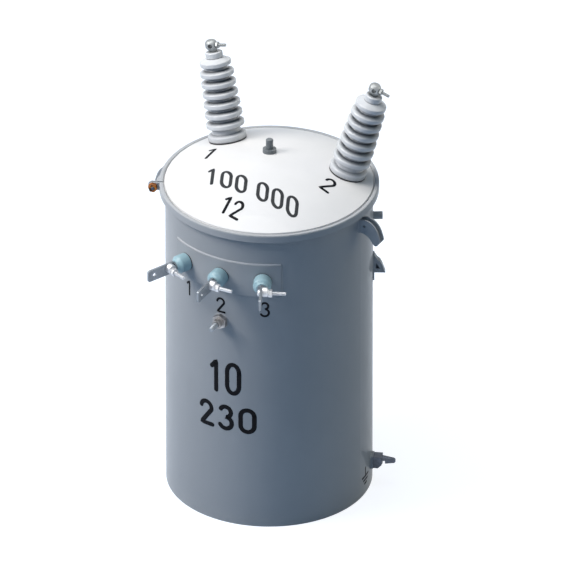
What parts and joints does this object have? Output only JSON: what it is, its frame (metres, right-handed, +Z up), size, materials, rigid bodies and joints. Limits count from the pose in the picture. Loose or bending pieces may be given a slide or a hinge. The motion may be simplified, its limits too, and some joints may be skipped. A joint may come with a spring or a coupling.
{
  "type": "oil-filled pole-type distribution transformer",
  "caption": "Small single-phase oil-filled distribution transformer: round steel tank with domed cover, shedded porcelain bushings, side terminals, lifting hooks and pole hangers.",
  "frame": {"origin": "on the tank's axis at the bottom edge of the tank wall", "axes": "+Z up along the tank, -Y towards the low-voltage terminals at the front, +Y towards the pole, +X towards the side with the ground connector"},
  "size_m": [0.4682, 0.517, 0.8269],
  "materials": {
    "grey_paint": "gloss",
    "cover_paint": "gloss",
    "band_paint": "gloss",
    "black_rubber": "matt",
    "grey_porcelain": "glazed",
    "teal_resin": "satin",
    "tinned_metal": "satin",
    "plated_bolt": "zinc plated",
    "earth_bronze": "dull",
    "dark_plastic": "satin"
  },
  "bodies": {
    "root": {"arrester_bracket": "grey_paint", "band_bolt": "plated_bolt", "clamp_band": "band_paint", "cover": "cover_paint", "cover_gasket": "black_rubber", "front_earth_bolt": "plated_bolt", "front_earth_boss": "earth_bronze", "hanger_lower": "grey_paint", "hanger_upper": "grey_paint", "hv_bushing_left": "grey_porcelain", "hv_bushing_right": "grey_porcelain", "hv_connector_left": "tinned_metal", "hv_connector_right": "tinned_metal", "hv_gasket_left": "black_rubber", "hv_gasket_right": "black_rubber", "hv_screw_left": "plated_bolt", "hv_screw_right": "plated_bolt", "lifting_lug_left": "grey_paint", "lifting_lug_right": "grey_paint", "lv_bolt_1": "plated_bolt", "lv_bolt_2": "plated_bolt", "lv_bolt_3": "plated_bolt", "lv_bushing_1": "teal_resin", "lv_bushing_2": "teal_resin", "lv_bushing_3": "teal_resin", "lv_gasket_1": "black_rubber", "lv_gasket_2": "black_rubber", "lv_gasket_3": "black_rubber", "lv_panel": "grey_paint", "lv_saddle_1": "tinned_metal", "lv_saddle_2": "tinned_metal", "lv_saddle_3": "tinned_metal", "lv_terminal_1": "tinned_metal", "lv_terminal_2": "tinned_metal", "lv_terminal_3": "tinned_metal", "relief_valve": "dark_plastic", "relief_valve_base": "dark_plastic", "side_ground_bolt": "plated_bolt", "side_ground_clamp": "earth_bronze", "side_ground_pad": "grey_paint", "side_plug": "grey_paint", "tank_bottom": "grey_paint", "tank_wall": "grey_paint"}
  },
  "joints": []
}
